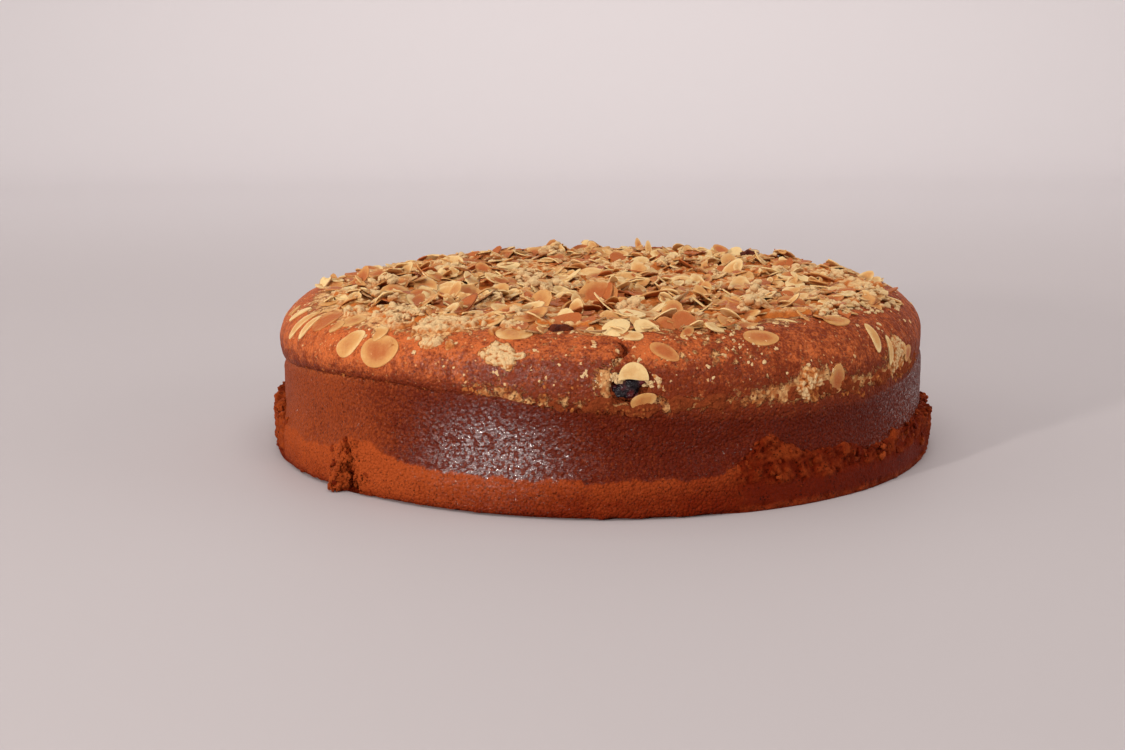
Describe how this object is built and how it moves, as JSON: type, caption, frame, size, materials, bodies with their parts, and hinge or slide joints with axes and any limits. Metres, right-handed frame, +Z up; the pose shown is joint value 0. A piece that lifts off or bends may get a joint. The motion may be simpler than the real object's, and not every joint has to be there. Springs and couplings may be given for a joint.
{
  "type": "crumble cake",
  "caption": "Round uncut crumble cake with a browned tin-baked side, a torn foot and a top of flaked almonds, crumble and dark berries.",
  "frame": {"origin": "middle of the flat underside", "axes": "+Z up, -Y the front with the open berry, +X to the right of the front"},
  "size_m": [0.2604, 0.2604, 0.064],
  "materials": {
    "crust": "browned cake crust, finely pored, with a greasy shine where the tin pressed it",
    "almond_crumble": "toasted flaked almonds and butter crumble",
    "berry_skin": "dark baked berry, moist and glossy",
    "almond_flesh": "toasted almond slice, satin",
    "crumble": "pale butter crumble, matt and grainy"
  },
  "bodies": {
    "root": {"cake": "crust", "topping": "almond_crumble", "almond_back": "almond_flesh", "almond_back_left": "almond_flesh", "almond_back_right": "almond_flesh", "almond_brown_heart": "almond_flesh", "almond_crack": "almond_flesh", "almond_far_right": "almond_flesh", "almond_notched": "almond_flesh", "almond_orange": "almond_flesh", "almond_over_berry": "almond_flesh", "almond_ridge": "almond_flesh", "almond_right": "almond_flesh", "almond_round": "almond_flesh", "almond_sliver_left": "almond_flesh", "almond_tan": "almond_flesh", "almond_under_berry": "almond_flesh", "berry_back": "berry_skin", "berry_front": "berry_skin", "berry_ridge": "berry_skin", "berry_right": "berry_skin", "crumble_back_left": "crumble", "crumble_back_right": "crumble", "crumble_far_right": "crumble", "crumble_front": "crumble", "crumble_left": "crumble", "crumble_right": "crumble"}
  },
  "joints": []
}
